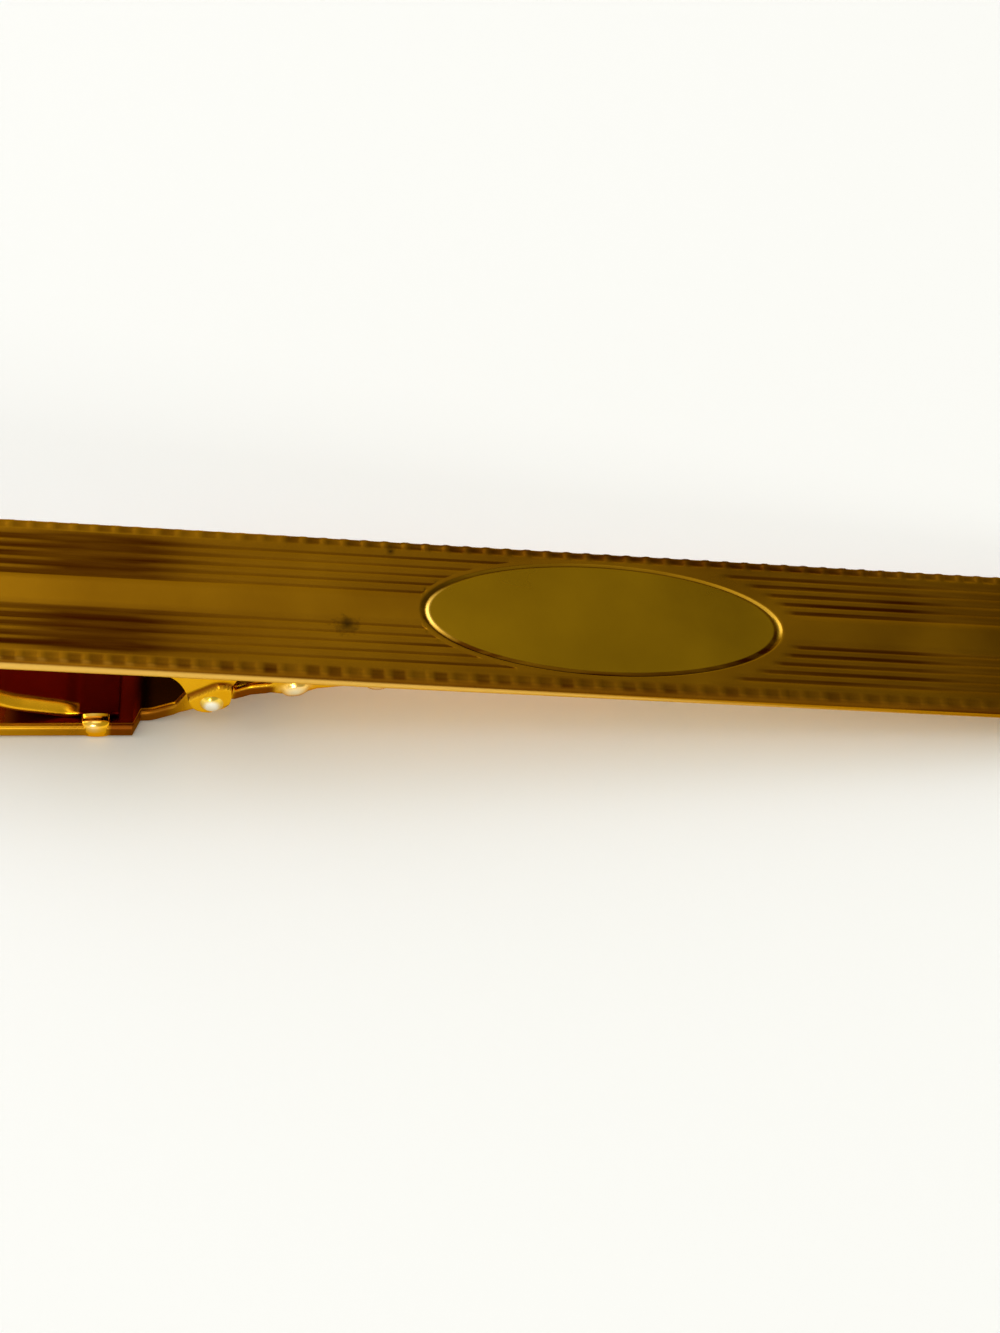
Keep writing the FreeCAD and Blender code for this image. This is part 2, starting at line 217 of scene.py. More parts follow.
notch = eased((np.abs(bead_phase - np.round(bead_phase)) - 0.07) / 0.24)
far_pressed = np.concatenate([[0.1, 0.6, 1, 1, 1], eased((1.5 - shoulder_turn) / 0.8), below])[:, None]
far_notch = far_depth * far_pressed * notch
near_notch = near_depth * edge_pressed * notch
far_y = np.concatenate([face_y, edge_y - far_notch * np.sin(edge_normal)])
far_z = np.concatenate([face_z, edge_z - far_notch * np.cos(edge_normal)])
near_y = np.concatenate([face_y, edge_y - near_notch * np.sin(edge_normal)])
near_z = np.concatenate([face_z, edge_z - near_notch * np.cos(edge_normal)])

# the corners of the plan are rounded: rows near the edge draw in with the arc
corner_start = 2.4
into_corner = np.clip(np.abs(along) - (half_length - bar_corner), 0, bar_corner)
plan_half = half_width - bar_corner + np.sqrt(bar_corner**2 - into_corner**2)
drawn_share = (plan_half - corner_start) / (half_width - corner_start)
far_y = np.where(far_y > corner_start, corner_start + (far_y - corner_start) * drawn_share, far_y)
near_y = np.where(near_y > corner_start, corner_start + (near_y - corner_start) * drawn_share, near_y)

# the notches are brown, each with its own share of dirt, more so along the middle of the far edge. The lower
# edge is pale, partly rubbed and partly painted light: near the hinge the pale band is wide and palest, and
# towards the free end painted shade narrows and dulls it
strip_brown = np.concatenate([[0.3, 0.5, 0.6, 0.6, 0.6], 0.6 + 0.6 * np.sin(shoulder_turn), below])[:, None]
rim_fade = 0.12
rim_top = np.interp(along, [-22, -4, 10, 20], [0.51, 0.43, 0.29, 0.2])
rubbed = np.interp(along, [-16, -4, 6, 16], [1, 0.95, 0.9, 0.7])
edge_wear = eased((rim_top - edge_z) / rim_fade + 0.5) * rubbed
unrubbed = eased((edge_z - rim_top) / rim_fade + 0.5)
far_bead = np.interp(along, [-12, -5, 10, 17], [0.35, 1.35, 1.5, 0.7])
near_bead = np.interp(along, [-19, -10, 4, 16], [0.62, 0.68, 0.76, 0.84])
notch_tone = np.interp(along, [-21, -14, -5, 2, 10], [0.3, 0.45, 0.45, 0.25, 0.12])
notch_number = np.clip(np.floor(bead_phase).astype(int), 0, bead_count - 1)
near_uneven, far_uneven = np.random.default_rng(5).uniform(0.25, 1.35, (2, bead_count))[:, notch_number]
far_brown = unrubbed * (strip_brown * far_bead + 0.35 * far_uneven * edge_pressed * notch)
near_brown = unrubbed * (strip_brown * near_bead + notch_tone * near_uneven * edge_pressed * notch)
# painted highlight: a pale spot on each bead between the notches, near the hinge end only
bead_crown = edge_pressed * np.sin(edge_normal) * (1 - notch) * np.interp(along, [-20, -13], [0.16, 0])
far_tarnish = np.concatenate([line_brown, np.clip(far_brown, 0, 1)])
near_tarnish = np.concatenate([line_brown, np.clip(near_brown, 0, 1)])
far_wear = np.concatenate([line_cut * 0, edge_wear])
near_wear = np.concatenate([line_cut * 0, np.maximum(edge_wear, bead_crown)])

# the panel: inside the oval's edge runs an engraved groove, and inside that the bare flat
groove_inset = np.array([0, 0.02, 0.055, 0.095, 0.135, 0.165, 0.185, 0.22])
groove_cut = np.array([0, 0.15, 0.7, 1, 0.7, 0.15, 0, 0])
groove_depth = 0.06
tip_widening = 1.7
panel_shares = np.array([0.6, 0.2, -0.2, -0.6])
ones = np.ones_like(groove_inset)
panel_inset = np.concatenate([groove_inset, panel_shares * 0 + groove_inset[-1], groove_inset[::-1]])[:, None]
panel_side = np.concatenate([ones, panel_shares, -ones])[:, None]
panel_cut = np.concatenate([groove_cut, panel_shares * 0, groove_cut[::-1]])[:, None]
within = np.abs(along) <= oval_long
panel_x = along[within] * (1 - tip_widening * panel_inset / oval_long)
panel_y = panel_side * oval_edge[within] * (1 - panel_inset / oval_short)
panel_z = bar_thickness - groove_depth * panel_cut + panel_x * 0

rows, columns = far_y.shape
far = np.arange(rows * columns).reshape(rows, columns)
near = far + rows * columns
back_faces = np.stack([far[-1, :-1], far[-1, 1:], near[-1, 1:], near[-1, :-1]], axis=-1)
bar_points = np.concatenate([
    laid(along, far_y, far_z).reshape(-1, 3),
    laid(along, -near_y, near_z).reshape(-1, 3),
    laid(panel_x, panel_y, panel_z).reshape(-1, 3),
])
bar_faces = np.concatenate([
    grid_faces(rows, columns),
    grid_faces(rows, columns, rows * columns),
    grid_faces(*panel_x.shape, 2 * rows * columns),
    back_faces,
])
bar_caps = [np.concatenate([far[:, end], near[::-1, end]]) for end in (0, -1)]
# the groove is brown, with painted light on it. Painted highlights make its inner wall bright at the hinge
# end and its outer wall bright at the other end and a way along the far side, the brightest inner wall is
# painted pale, and painted shade keeps the brown thin along the far side and thickest at the near side
around = np.arctan2(panel_side * oval_edge[within] / oval_short, along[within] / oval_long)
inner_wall = panel_inset > groove_inset[3]
inner_bright = eased((np.abs(around) - math.radians(140)) / math.radians(30))
outer_start = eased((math.radians(66) - around) / math.radians(60))
outer_end = eased((around + math.radians(14)) / math.radians(14))
outer_bright = outer_start * outer_end
groove_bright = np.where(inner_wall, inner_bright, outer_bright)
near_side = eased((-np.sin(around) + 0.9) / 1.3)
groove_brown = np.array([0.2, 0.9, 1, 1, 1, 1, 0.9, 0])
groove_brown = np.concatenate([groove_brown, panel_shares * 0, groove_brown[::-1]])[:, None]
panel_tarnish = groove_brown * (0.6 + 0.4 * near_side) * (1 - 0.97 * groove_bright)
panel_wear = 0.7 * groove_brown * np.where(inner_wall, inner_bright, 0.6 * outer_bright) ** 2
bar_tarnish = np.concatenate([far_tarnish.ravel(), near_tarnish.ravel(), panel_tarnish.ravel()])
bar_wear = np.concatenate([far_wear.ravel(), near_wear.ravel(), panel_wear.ravel()])
bar_bare = np.concatenate([far_wear.ravel() * 0, near_wear.ravel() * 0, panel_x.ravel() * 0 + 1])
front_bar = make_piece(
    "gilt_front_bar", bar_points, bar_faces, bar_caps, 32, tarnish=bar_tarnish, wear=bar_wear, bare=bar_bare
)


def node(tree, kind, settings=(), **sockets):
    """One shader node: its settings, then each socket set to a value or linked from another socket."""
    made = tree.nodes.new(kind)
    for key, value in settings:
        setattr(made, key, value)
    for key, value in sockets.items():
        socket = made.inputs[key.replace("_", " ")]
        if isinstance(value, bpy.types.NodeSocket):
            tree.links.new(value, socket)
        else:
            socket.default_value = value
    return made


def colour_mix(tree, share, first, second):
    """The first colour going over to the second as the share goes from 0 to 1."""
    mix = tree.nodes.new("ShaderNodeMix")
    mix.data_type = "RGBA"
    for socket, value in ((mix.inputs[0], share), (mix.inputs[6], first), (mix.inputs[7], second)):
        if isinstance(value, bpy.types.NodeSocket):
            tree.links.new(value, socket)
        else:
            socket.default_value = value
    return mix.outputs[2]


def spread(tree, value, low, high, to_low, to_high):
    """A value's range low to high carried over to another range, and held there at both ends."""
    return node(
        tree, "ShaderNodeMapRange", [("clamp", True)],
        Value=value, From_Min=low, From_Max=high, To_Min=to_low, To_Max=to_high,
    ).outputs[0]


def arithmetic(tree, operation, first, second):
    """One sum, product or other step between two values."""
    made = tree.nodes.new("ShaderNodeMath")
    made.operation = operation
    for socket, value in zip(made.inputs, (first, second)):
        if isinstance(value, bpy.types.NodeSocket):
            tree.links.new(value, socket)
        else:
            socket.default_value = value
    return made.outputs[0]


def noise(tree, place, scale, detail):
    """Cloudy noise over the object's own place, with so many clouds to the metre."""
    return node(tree, "ShaderNodeTexNoise", Vector=place, Scale=scale, Detail=detail).outputs[0]


def new_metal(name):
    """An empty metal finish: its node tree, its shader and the object's own coordinates."""
    material = bpy.data.materials.new(name)
    material.use_nodes = True
    tree = material.node_tree
    shader = tree.nodes["Principled BSDF"]
    shader.inputs["Metallic"].default_value = 1.0
    place = tree.nodes.new("ShaderNodeTexCoord").outputs["Object"]
    return material, tree, shader, place


# gilt over brass: cloudy gold, brown in the cuts and in the painted shade of the oval's groove, pale on the
# lower edge (rubbed, with painted shade towards the free end) and in the painted highlights on the beads and
# in the groove, with two old stains
bar_gilt, tree, shader, place = new_metal("aged_gilt")
clouds = noise(tree, place, 260, 4)
grain = noise(tree, place, 5200, 3)
tarnish = node(tree, "ShaderNodeAttribute", [("attribute_name", "tarnish")]).outputs["Fac"]
wear = node(tree, "ShaderNodeAttribute", [("attribute_name", "wear")]).outputs["Fac"]
bare = node(tree, "ShaderNodeAttribute", [("attribute_name", "bare")]).outputs["Fac"]
cloudy = spread(tree, clouds, 0.35, 0.7, 0, 1)
colour = colour_mix(tree, cloudy, (0.44, 0.185, 0.006, 1), (0.48, 0.214, 0.007, 1))
panel_tone = colour_mix(tree, cloudy, (0.525, 0.272, 0.008, 1), (0.565, 0.302, 0.009, 1))
colour = colour_mix(tree, bare, colour, panel_tone)
drawn_out = node(tree, "ShaderNodeMapping", Vector=place, Scale=(0.05, 1, 0.05)).outputs[0]
streaks = noise(tree, drawn_out, 2600, 3)
brown = arithmetic(tree, "MULTIPLY", tarnish, spread(tree, streaks, 0.32, 0.62, 0.72, 1.0))
colour = colour_mix(tree, brown, colour, (0.056, 0.0085, 0.0004, 1))
# the pale colour is rubbed wear on the lower edge and painted highlight on the beads and in the groove
colour = colour_mix(tree, wear, colour, (0.93, 0.57, 0.12, 1))
for stain_x, stain_y, stain_size in ((-9.2, -0.86, 0.5), (-7.6, 2.62, 0.22)):
    stain_place = laid(stain_x, stain_y, bar_thickness)
    offset = node(tree, "ShaderNodeVectorMath", [("operation", "DISTANCE")])
    tree.links.new(place, offset.inputs[0])
    offset.inputs[1].default_value = stain_place
    ragged = arithmetic(tree, "MULTIPLY", offset.outputs["Value"], spread(tree, grain, 0.3, 0.7, 0.6, 1.5))
    stained = spread(tree, ragged, 0, stain_size * mm, 0.9, 0)
    colour = colour_mix(tree, stained, colour, (0.03, 0.014, 0.004, 1))
tree.links.new(colour, shader.inputs["Base Color"])
rough = spread(tree, clouds, 0.3, 0.7, 0.26, 0.36)
rough = arithmetic(tree, "ADD", rough, spread(tree, tarnish, 0, 1, 0, 0.2))
tree.links.new(rough, shader.inputs["Roughness"])
bump = node(tree, "ShaderNodeBump", Strength=0.25, Distance=0.000006, Height=grain)
tree.links.new(bump.outputs[0], shader.inputs["Normal"])
shader.inputs["Specular Tint"].default_value = (0.8, 0.6, 0.22, 1)
front_bar.data.materials.append(bar_gilt)
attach(front_bar, "bar")
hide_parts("front_bar")


# Hinge bracket
# A strip of gilt brass soldered to the back of the bar, with an ear bent down at each side to carry the pin.
hinge_x = -13.75
hinge_z = -1.7


def bent_line(corners, radius):
    """Dense points along a line with its corners bent: each inner corner gives way to a parabola that
    leaves one side and meets the next at the tangent length of an arc of the given radius."""
    corners = np.asarray(corners, float)
    ways = np.diff(corners, axis=0)
    ways /= np.linalg.norm(ways, axis=1, keepdims=True)
    turn = np.arccos(np.clip((ways[:-1] * ways[1:]).sum(axis=1), -1, 1))
    tangent = (radius * np.tan(turn / 2))[:, None]
    middle = corners[1:-1, None]
    start = middle - (ways[:-1] * tangent)[:, None]
    finish = middle + (ways[1:] * tangent)[:, None]
    t = np.linspace(0, 1, 13)[None, :, None]
    bends = (1 - t) ** 2 * start + 2 * t * (1 - t) * middle + t**2 * finish
    return np.concatenate([corners[:1], bends.reshape(-1, 2), corners[-1:]])


def channel_section(x, floor_z, half, wall, sheet, way, inner_bend, rim_round, outer_bend, swell):
    """A pressed channel, as a section carried along X. The section runs from the middle of the floor's
    inner face out to the fillet, up the inside of the wall, over its rounded rim, down the outside, round
    the outer bend and back under the floor. half is the outer half width, wall the wall's height over the
    floor and way +1 or -1 for walls that go up or down; all may change along X. The sheet keeps its
    thickness on a slope. swell is how far the outside stands out, from X and the height over the floor.
    The third result, which the pieces use as painted shade, is 1 on the inner faces and 0 from the rim
    outward."""
    slope = np.gradient(floor_z, x)
    thick = sheet * np.sqrt(1 + slope**2)
    rim = np.minimum(rim_round, wall)
    fillet = np.minimum(inner_bend, wall - rim)
    round_off = outer_bend * np.clip(0.25 + wall / 0.6, 0.25, 1)
    inside = half - sheet
    quarter = np.linspace(0, math.pi / 2, 5)[:, None]
    turn = np.linspace(0, math.pi, 9)[:, None]
    flat = np.array([0, 0.5])[:, None]
    middle = np.array([0.33, 0.67])[:, None]
    down = np.linspace(0, 1, 22)[1:-1, None]
    top = wall - rim
    rim_h = top + rim * np.sin(turn)
    side_h = top + (round_off - thick - top) * down
    bend_h = round_off - thick - round_off * np.sin(quarter)
    bend_swell = swell(x, bend_h)
    outward = eased((turn - 1) / 1.5)
    y = [
        flat * (inside - fillet),
        inside - fillet + fillet * np.sin(quarter),
        inside + middle * 0,
        inside + sheet / 2 * (1 - np.cos(turn)) + swell(x, rim_h) * outward,
        half + swell(x, side_h),
        half - round_off * (1 - np.cos(quarter)) + bend_swell * np.cos(quarter),
        (half - round_off) * flat[::-1],
    ]
    h = [
        flat * 0 + wall * 0,
        fillet * (1 - np.cos(quarter)),
        fillet + (top - fillet) * middle,
        rim_h,
        side_h,
        bend_h - bend_swell * np.sin(quarter) / 2,
        -thick - bend_swell[-1:] / 2 * flat[::-1],
    ]
    inner_rows = len(flat) + len(quarter) + len(middle)
    outer_rows = len(turn) + len(down) + len(quarter) + len(flat)
    sheltered = np.concatenate([np.ones(inner_rows), np.clip(1 - 0.4 * np.arange(outer_rows), 0, 1)])
    return np.concatenate(y), floor_z + way * np.concatenate(h), sheltered[:, None] + x * 0


def make_channel(name, x, section_y, section_z, sharp_degrees, **shades):
    """The channel's two halves, mirrored about Y = 0, as one closed mesh with a cap at each end."""
    rows, columns = section_y.shape
    points = np.concatenate([laid(x, section_y, section_z), laid(x, -section_y, section_z)]).reshape(-1, 3)
    faces = np.concatenate([grid_faces(rows, columns), grid_faces(rows, columns, rows * columns)])
    far = np.arange(rows * columns).reshape(rows, columns)
    near = far + rows * columns
    caps = [np.concatenate([far[:, end], near[::-1, end]]) for end in (0, -1)]
    doubled = {shade: np.concatenate([values.ravel(), values.ravel()]) for shade, values in shades.items()}
    return make_piece(name, points, faces, caps, sharp_degrees, **doubled)


def rounded_end(distance, radius):
    """How far a plan's edge draws in at a distance from its end, for a corner of that radius."""
    return radius - np.sqrt(np.clip(radius**2 - np.clip(radius - distance, 0, radius) ** 2, 0, None))


base_sheet = 0.35
base_half = 2.7
base_rear = hinge_x - 3.5
base_front = hinge_x + 1.65
base_corner = 0.4
ear_drop = 0.6
base_x = np.linspace(base_rear, base_front, 150)
corner_x = base_corner * (1 - np.cos(np.linspace(0, math.pi / 2, 8)))
base_x = np.unique(np.round(np.concatenate([base_x, base_rear + corner_x, base_front - corner_x]), 5))
# the ear's lower edge: foot, concave flare, tapering neck, round end under the pin, and up again
ear_line = bent_line(
    [(-2.8, -base_sheet), (-1.3, -base_sheet), (-0.6, hinge_z - ear_drop), (0.6, hinge_z - ear_drop),
     (0.75, -base_sheet), (1.45, -base_sheet)],
    np.array([1.4, 0.6, 0.6, 0.6]),
)
ear_low = np.interp(base_x - hinge_x, ear_line[:, 0], ear_line[:, 1])
base_ends = np.minimum(base_x - base_rear, base_front - base_x)
base_outline = base_half - rounded_end(base_ends, base_corner)


def boss_distance(x, z):
    """Distance in the side view from the middle line of the boss, which runs up from the ear's rear edge past
    the pin: from the nearest point of that line, kept between its two ends."""
    line_start = np.array([-1.05, -2.42])
    line_way = np.array([1.4, 1.1])
    from_start = np.stack([x - hinge_x - line_start[0] + z * 0, z - line_start[1]], axis=-1)
    share = np.clip(from_start @ line_way / (line_way @ line_way), 0, 1)
    return np.linalg.norm(from_start - share[..., None] * line_way, axis=-1)


boss_rise = 0.13
boss_radius = 0.48
boss_step = 0.1


def ear_boss(x, height):
    """A low boss pressed out round the pin: full within its radius of the middle line, and gone a short
    step outside."""
    outside = boss_distance(x, -base_sheet - height) - boss_radius
    return boss_rise * (1 - eased(outside / boss_step))


base_y, base_z, base_shelter = channel_section(
    base_x, base_x * 0 - base_sheet, base_outline, -base_sheet - ear_low, base_sheet, way=-1,
    inner_bend=0.12, rim_round=0.1, outer_bend=0.3, swell=ear_boss,
)
# painted shade lies in the crease above the boss, and the inner faces are painted darkest, nearly black
# behind the pin and much lighter in front of it
crease = eased(1.4 - np.abs(boss_distance(base_x, base_z) - 0.62) / 0.13) * (base_z > -2.0)
behind_pin = np.interp(base_x - hinge_x, [-0.4, 0.3], [2, 0.3])
base_shelter = np.maximum(base_shelter * behind_pin, 0.85 * crease)
hinge_bracket = make_channel("hinge_bracket", base_x, base_y, base_z, 40, shelter=base_shelter)

# gilt pressed sheet: brighter and redder than the bar outside, with painted shade that is dark red on the
# inner faces and nearly black deepest in, and a painted pale highlight on the crowns of the teeth and tabs
clip_gilt, tree, shader, place = new_metal("pressed_gilt")
clouds = noise(tree, place, 420, 4)
grain = noise(tree, place, 7000, 2)
shelter = node(tree, "ShaderNodeAttribute", [("attribute_name", "shelter")]).outputs["Fac"]
crown = node(tree, "ShaderNodeAttribute", [("attribute_name", "crown")]).outputs["Fac"]
cloudy = spread(tree, clouds, 0.35, 0.68, 0, 1)
colour = colour_mix(tree, cloudy, (0.93, 0.47, 0.012, 1), (0.98, 0.54, 0.02, 1))
colour = colour_mix(tree, crown, colour, (0.99, 0.88, 0.58, 1))
# painted shade: dark red, then nearly black where the shade attribute passes 1
colour = colour_mix(tree, spread(tree, shelter, 0, 1, 0, 1), colour, (0.13, 0.006, 0.002, 1))
colour = colour_mix(tree, spread(tree, shelter, 1, 2, 0, 1), colour, (0.003, 0.0002, 0.0002, 1))
tree.links.new(colour, shader.inputs["Base Color"])
rough = spread(tree, clouds, 0.3, 0.7, 0.14, 0.24)
rough = arithmetic(tree, "ADD", rough, spread(tree, shelter, 0, 1, 0, 0.15))
tree.links.new(rough, shader.inputs["Roughness"])
bump = node(tree, "ShaderNodeBump", Strength=0.2, Distance=0.000005, Height=grain)
tree.links.new(bump.outputs[0], shader.inputs["Normal"])
shader.inputs["Specular Tint"].default_value = (0.9, 0.6, 0.2, 1)
hinge_bracket.data.materials.append(clip_gilt)
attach(hinge_bracket, "bar")
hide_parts("hinge_base")


# Hinge pin
# A short brass wire through the ears and the lever's cheeks, with a domed head riveted over at each end.
pin_radius = 0.3
head_radius = 0.48
head_height = 0.3
head_seat = 2.73
ball_radius = (head_radius**2 + head_height**2) / (2 * head_height)
cap_angle = math.asin(head_radius / ball_radius)
dome = np.linspace(0, cap_angle, 13)
dome_r = ball_radius * np.sin(dome)
dome_y = head_seat + head_height - ball_radius * (1 - np.cos(dome))
seat_radius = head_radius - 0.03
pin_r = np.concatenate([dome_r, [seat_radius, pin_radius, pin_radius, seat_radius], dome_r[::-1]])
pin_y = np.concatenate([dome_y, [head_seat, head_seat, -head_seat, -head_seat], -dome_y[::-1]])
pin_turn = np.linspace(0, 2 * math.pi, 49)
pin_points = laid(
    hinge_x + pin_r[:, None] * np.cos(pin_turn), pin_y[:, None], hinge_z + pin_r[:, None] * np.sin(pin_turn)
)
# painted highlight: pale in a small round spot at the middle of each head
crown_radius = 0.17
pin_crown = (1 - eased((pin_r - crown_radius) / crown_radius))[:, None] + pin_turn * 0
pin_faces = grid_faces(*pin_points.shape[:2])
hinge_pin = make_piece(
    "hinge_pin_riveted", pin_points.reshape(-1, 3), pin_faces, [], 40, crown=pin_crown.ravel()
)
# brass, with a painted pale highlight at the middle of each dome
pin_gilt, tree, shader, place = new_metal("polished_pin")
clouds = noise(tree, place, 900, 3)
crown = node(tree, "ShaderNodeAttribute", [("attribute_name", "crown")]).outputs["Fac"]
cloudy = spread(tree, clouds, 0.35, 0.7, 0, 1)
colour = colour_mix(tree, cloudy, (0.94, 0.6, 0.06, 1), (0.97, 0.66, 0.1, 1))
colour = colour_mix(tree, crown, colour, (0.99, 0.95, 0.8, 1))
tree.links.new(colour, shader.inputs["Base Color"])
tree.links.new(spread(tree, clouds, 0.3, 0.7, 0.12, 0.22), shader.inputs["Roughness"])
hinge_pin.data.materials.append(pin_gilt)
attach(hinge_pin, "bar")
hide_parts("hinge_pin")


# Jaw lever
# One pressed sheet of gilt brass: a thumb plate, a ramp with a cheek at each side on the pin, and a jaw
# whose edges stand up in round teeth. Two tabs on the plate are curled over the foot of the spring.
lever_sheet = 0.3
lever_corners = [
    (-27.583, -4.499), (-15.926, -3.501), (-12.45, -1.68), (-8.6, -1.0), (-0.6, -0.6), (0.8, -1.0)
]
plate_half = 2.9
plate_corner = 1.3
shoulder_x = -16.45
shoulder_run = 0.25
cheek_half = 2.25
taper_x = -12.4
tip_half = 1.6
tip_corner = 0.8
rail = 0.3
tooth_places = hinge_x + 2.9 + 2.9 * np.arange(4)
tooth_foot = 0.95
tooth_top = -0.05
lever_rear = lever_corners[0][0]
lever_tip = lever_corners[-1][0]
lever_x = np.concatenate([
    np.arange(lever_rear, lever_tip, 0.08),
    lever_rear + plate_corner * (1 - np.cos(np.linspace(0, math.pi / 2, 12))),
    lever_tip - tip_corner * (1 - np.cos(np.linspace(0, math.pi / 2, 10))),
    shoulder_x + shoulder_run * np.linspace(-0.2, 1.2, 12),
])
lever_x = np.unique(np.round(lever_x, 4))
lever_line = bent_line(lever_corners, 0.9)
floor_z = np.interp(lever_x, lever_line[:, 0], lever_line[:, 1])
lever_half = np.interp(
    lever_x,
    [shoulder_x, shoulder_x + shoulder_run, taper_x, lever_tip],
    [plate_half, cheek_half, cheek_half, tip_half],
)
lever_half -= rounded_end(lever_x - lever_rear, plate_corner) + rounded_end(lever_tip - lever_x, tip_corner)
from_pin = lever_x - hinge_x
cheek_round = 0.75
cheek_reach = 1.5
no_cheek = -9
cheek_top = hinge_z + np.sqrt(np.clip(cheek_round**2 - from_pin**2, 0, None))
cheek_foot = np.interp(
    from_pin, [-cheek_reach, -cheek_round, cheek_round, 1.1], [-3.2, hinge_z, hinge_z, -1.63]
)
cheek = np.where(np.abs(from_pin) < cheek_reach, cheek_foot, no_cheek)
cheek = np.where(np.abs(from_pin) < cheek_round, cheek_top, cheek)
from_tooth = np.abs(lever_x[:, None] - tooth_places).min(axis=1)
tooth_share = np.clip(1 - from_tooth / tooth_foot, 0, 1)
tooth_rise = np.sin(np.clip(tooth_share * 1.45, 0, 1) * math.pi / 2) ** 1.5
wall_z = np.maximum(floor_z + rail, cheek)
wall_z = wall_z + (tooth_top - wall_z) * tooth_rise


ridge_rise = 0.12
dome_rise = 0.2
dome_long = 0.5
dome_high = 0.36
dome_middle = 0.1


def tooth_swell(x, height):
    """The teeth are pressed out: a low ridge all the way down to the bend, and on it a round dome just above
    the floor, as high as the root of 1 less the squares of its two distances."""
    out_from = (from_tooth / dome_long) ** 2
    dome = np.sqrt(np.clip(1 - out_from - ((height - dome_middle) / dome_high) ** 2, 0, 1))
    return ridge_rise * tooth_rise + dome_rise * dome


lever_y, lever_z, lever_shelter = channel_section(
    lever_x, floor_z, lever_half, wall_z - floor_z, lever_sheet, way=1,
    inner_bend=0.1, rim_round=0.15, outer_bend=0.28, swell=tooth_swell,
)
# inside, painted shade makes the plate dark red and the neck nearly black, and painted light makes the plate
# lighter towards its rear and the jaw lighter from the pin forward. Outside, painted shade browns the plate's
# wall, most of all at its front corner, and the side of the neck and, low down, of the jaw behind the first
# tooth. The teeth carry a painted pale highlight
inside = eased((lever_shelter - 0.5) / 0.5)
neck_dark = eased((lever_x + 16.6) / 0.5)
plate_lit = eased((-20.4 - lever_x) / 0.8)
jaw_lit = eased((lever_x + 13.9) / 0.4)
depth = 1 + neck_dark - 0.55 * plate_lit - 1.55 * jaw_lit
outside = np.interp(
    lever_x,
    [-21.5, -19.8, -18.4, -17.4, -17.2, -16.3, -16.15, -15.3, -14.7, -14.3],
    [0.46, 0.55, 0.64, 0.4, 0.9, 0.9, 0.85, 0.85, 0.5, 0],
)
behind_tooth = eased((lever_x + 13.2) / 0.3) * eased((-11.4 - lever_x) / 0.3)
low_side = eased((floor_z + 0.28 - lever_z) / 0.1) * behind_tooth
lever_shelter = inside * depth + (1 - inside) * np.maximum(outside, 0.9 * low_side)
crown_height = (lever_z - floor_z - dome_middle) / 0.26
tooth_crown = (1 - inside) * np.exp(-((from_tooth / 0.36) ** 2) - crown_height**2)
jaw_lever = make_channel(
    "pressed_jaw_lever", lever_x, lever_y, lever_z, 45, shelter=lever_shelter, crown=tooth_crown
)
jaw_lever.data.materials.append(clip_gilt)
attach(jaw_lever, "lever")
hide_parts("jaw_lever")

plate_front = np.array([-15.926, -3.501])
plate_along = np.array([face_up[2], face_up[0]])
plate_up = np.array([-face_up[0], face_up[2]])


def over_plate(back, height):
    """X and Z of a point over the thumb plate: so far back from its front, and so high over its inner
    face."""
    back, height = np.broadcast_arrays(back, height)
    place = plate_front - back[..., None] * plate_along + height[..., None] * plate_up
    return place[..., 0], place[..., 1]


# a tab: a strip's section curled up and in over the spring, bulging outward, swept along the plate, with
# ends that close on its middle line as an ellipse does
tab_back = 1.3
tab_width = 1.0
curl = np.linspace(0, 1, 15)
curl_line = bent_line([(2.75, -0.25), (2.75, 0.34), (2.36, 0.34)], 0.24)
curl_length = np.concatenate([[0], np.cumsum(np.linalg.norm(np.diff(curl_line, axis=0), axis=1))])
curl_y = np.interp(curl * curl_length[-1], curl_length, curl_line[:, 0])
curl_h = np.interp(curl * curl_length[-1], curl_length, curl_line[:, 1])
curl_way = np.stack([np.gradient(curl_y), np.gradient(curl_h)])
curl_way /= np.linalg.norm(curl_way, axis=0)
curl_thick = np.interp(curl, [0, 0.55, 1], [0.15, 0.13, 0.09])
curl_bulge = np.interp(curl, [0, 0.35, 0.65, 1], [0.14, 0.22, 0.2, 0.1])
tab_share = np.sin(np.linspace(-math.pi / 2, math.pi / 2, 17))
tab_round = np.sqrt(np.clip(1 - tab_share**2, 0, 1))
outer_y = curl_y + curl_way[1] * curl_bulge
outer_h = curl_h - curl_way[0] * curl_bulge
inner_y = curl_y - curl_way[1] * curl_thick
inner_h = curl_h + curl_way[0] * curl_thick
loop_y = np.concatenate([outer_y, inner_y[::-1], outer_y[:1]])
loop_h = np.concatenate([outer_h, inner_h[::-1], outer_h[:1]])
middle_y = np.concatenate([curl_y, curl_y[::-1], curl_y[:1]])
middle_h = np.concatenate([curl_h, curl_h[::-1], curl_h[:1]])
tab_y = middle_y[:, None] + (loop_y - middle_y)[:, None] * tab_round
tab_h = middle_h[:, None] + (loop_h - middle_h)[:, None] * tab_round
tab_x, tab_z = over_plate(tab_back + tab_width * (1 + tab_share) / 2, tab_h)
# painted highlight: a pale spot on the upper curl of each tab
tab_crown = 0.3 * np.exp(-(((tab_share - 0.2) / 0.4) ** 2) - ((tab_h - 0.34) / 0.2) ** 2)
for tab_name, tab_side in (("spring_tab_near", -1), ("spring_tab_far", 1)):
    tab_points = laid(tab_x, tab_side * tab_y, tab_z)
    spring_tab = make_piece(
        tab_name, tab_points.reshape(-1, 3), grid_faces(*tab_y.shape), [], 60, crown=tab_crown.ravel()
    )
    spring_tab.data.materials.append(clip_gilt)
    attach(spring_tab, "lever")


